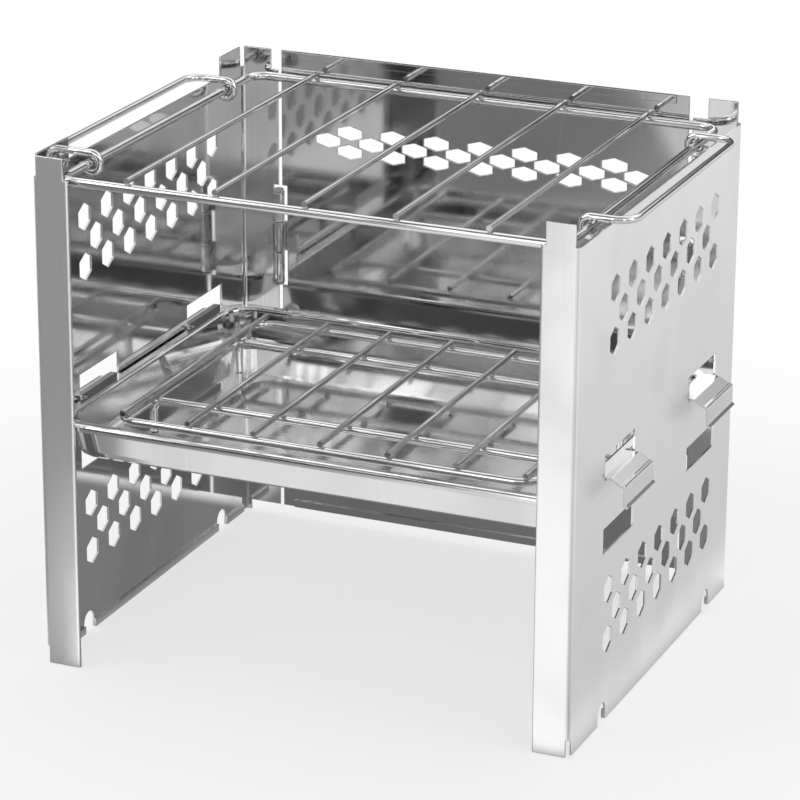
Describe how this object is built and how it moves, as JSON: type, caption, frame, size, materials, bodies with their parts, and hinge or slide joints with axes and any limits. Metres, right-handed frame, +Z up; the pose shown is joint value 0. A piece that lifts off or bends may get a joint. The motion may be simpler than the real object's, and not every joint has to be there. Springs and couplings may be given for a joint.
{
  "type": "folding wood stove",
  "caption": "Folding stove of thin steel sheet: hinged vented side panels, a back panel, a hanging tray with a wire fire grate, and a wire top grate with swinging handles.",
  "frame": {"origin": "centre of the bounding box, at the floor", "axes": "+Z up, +X to the right seen from the open front, +Y from the open front to the back panel"},
  "size_m": [0.2228, 0.17, 0.193],
  "materials": {
    "side_sheet": "bright annealed, soft satin reflections",
    "back_sheet": "bright annealed, near mirror",
    "tray_sheet": "pressed, near mirror",
    "fire_wire": "bright plated wire",
    "top_wire": "bright plated wire",
    "handle_wire": "bright plated wire",
    "pin_steel": "satin"
  },
  "bodies": {
    "back": {"back_panel": "back_sheet", "hinge_pin_left_lower": "pin_steel", "hinge_pin_left_upper": "pin_steel", "hinge_pin_right_lower": "pin_steel", "hinge_pin_right_upper": "pin_steel"},
    "left_side": {"side_panel_left": "side_sheet"},
    "right_side": {"side_panel_right": "side_sheet"},
    "tray": {"tray": "tray_sheet"},
    "fire_grate": {"fire_grate_frame": "fire_wire", "fire_grate_feet_front": "fire_wire", "fire_grate_feet_rear": "fire_wire", "fire_grate_rod_1": "fire_wire", "fire_grate_rod_2": "fire_wire", "fire_grate_rod_3": "fire_wire", "fire_grate_rod_4": "fire_wire", "fire_grate_rod_5": "fire_wire", "fire_grate_rod_6": "fire_wire", "fire_grate_rod_7": "fire_wire"},
    "top_grate": {"top_grate_frame": "top_wire", "top_grate_rod_1": "top_wire", "top_grate_rod_2": "top_wire", "top_grate_rod_3": "top_wire", "top_grate_rod_4": "top_wire", "top_grate_rod_5": "top_wire"},
    "left_handle": {"handle_left": "handle_wire"},
    "right_handle": {"handle_right": "handle_wire"}
  },
  "joints": [
    {"name": "fold_left", "type": "hinge", "parent": "back", "child": "left_side", "pos_m": [-0.08575, 0.0826, 0.09], "axis": [0, 0, -1], "range_deg": [-0.1, 1]},
    {"name": "fold_right", "type": "hinge", "parent": "back", "child": "right_side", "pos_m": [0.08275, 0.0826, 0.09], "axis": [0, 0, 1], "range_deg": [-0.1, 1]},
    {"name": "tray_lift", "type": "slide", "parent": "back", "child": "tray", "axis": [0, 0, 1], "range_m": [0, 0.008]},
    {"name": "fire_grate_lift", "type": "slide", "parent": "tray", "child": "fire_grate", "axis": [0, 0, 1], "range_m": [0, 0.06]},
    {"name": "top_grate_lift", "type": "slide", "parent": "back", "child": "top_grate", "axis": [0, 0, 1], "range_m": [0, 0.05]},
    {"name": "swing_left_handle", "type": "hinge", "parent": "top_grate", "child": "left_handle", "pos_m": [-0.095, 0, 0.18335], "axis": [0, 1, 0], "range_deg": [0, 180]},
    {"name": "swing_right_handle", "type": "hinge", "parent": "top_grate", "child": "right_handle", "pos_m": [0.095, 0, 0.18335], "axis": [0, -1, 0], "range_deg": [0, 180]}
  ]
}
